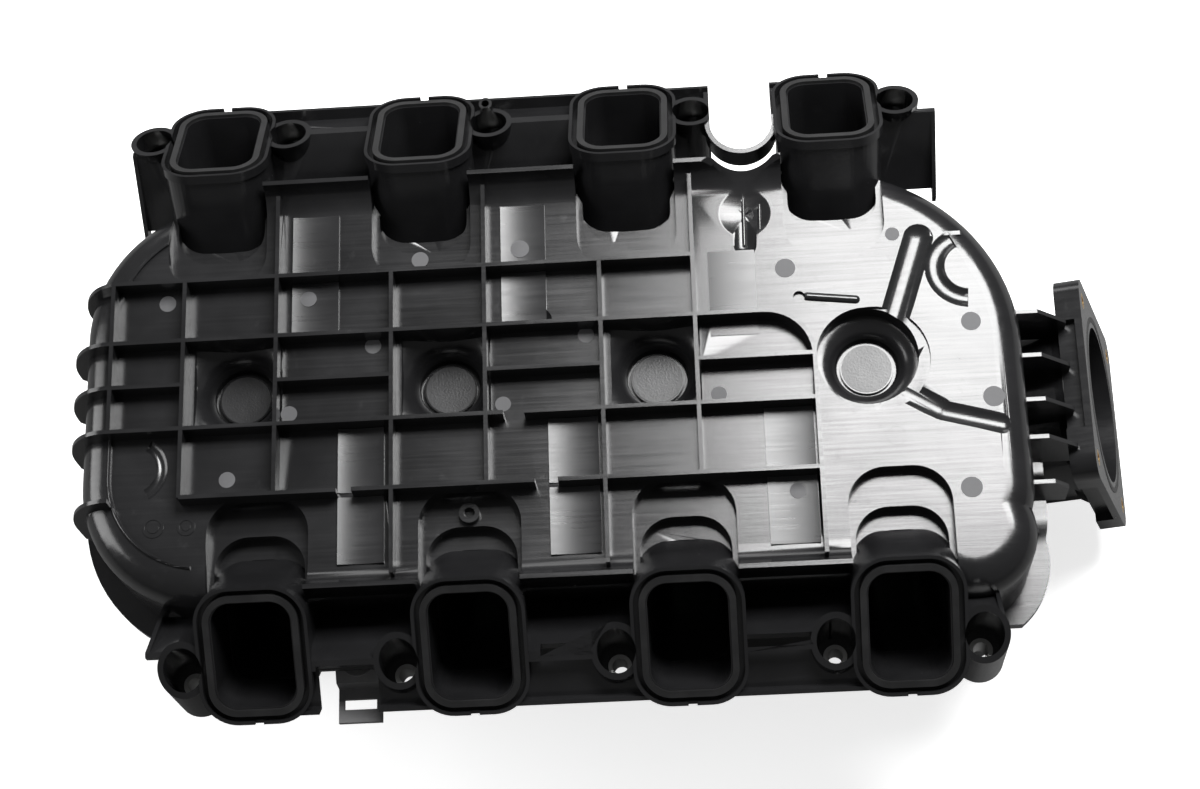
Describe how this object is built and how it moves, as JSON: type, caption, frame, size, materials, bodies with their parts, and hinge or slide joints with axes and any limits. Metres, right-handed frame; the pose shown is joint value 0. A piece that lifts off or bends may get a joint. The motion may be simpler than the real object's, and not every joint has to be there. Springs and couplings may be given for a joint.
{
  "type": "intake manifold",
  "caption": "Moulded black plastic intake manifold for a V-type engine, with tilted oval-cornered ports in two banks, a ribbed panel and a round throttle flange.",
  "frame": {"origin": "centre of the bounding box's bottom face, under the middle of the manifold", "axes": "+X along the engine towards the throttle flange; +Z out of the ribbed panel and the port faces; +Y towards the bank with the U-shaped notch. The part is stored as it was seen, lying on its top cover: fitted on an engine it is turned over, so that +Z points down."},
  "size_m": [0.5808, 0.356, 0.1956],
  "materials": {
    "shell": "semi-gloss black glass-filled nylon",
    "runner": "matte black nylon",
    "gasket": "matte dark grey rubber",
    "seal": "matte black rubber",
    "insert": "plain machined",
    "sleeve": "plain",
    "clip": "grey nylon"
  },
  "bodies": {
    "root": {"lower_shell": "shell", "upper_cover": "shell", "runner_1": "runner", "runner_2": "runner", "runner_3": "runner", "runner_4": "runner", "runner_5": "runner", "runner_6": "runner", "runner_7": "runner", "runner_8": "runner", "port_gasket_1": "gasket", "port_gasket_2": "gasket", "port_gasket_3": "gasket", "port_gasket_4": "gasket", "port_gasket_5": "gasket", "port_gasket_6": "gasket", "port_gasket_7": "gasket", "port_gasket_8": "gasket", "throttle_gasket": "seal", "throttle_inserts": "insert", "bolt_sleeves_left": "sleeve", "bolt_sleeves_right": "sleeve", "harness_clip": "clip"}
  },
  "joints": []
}
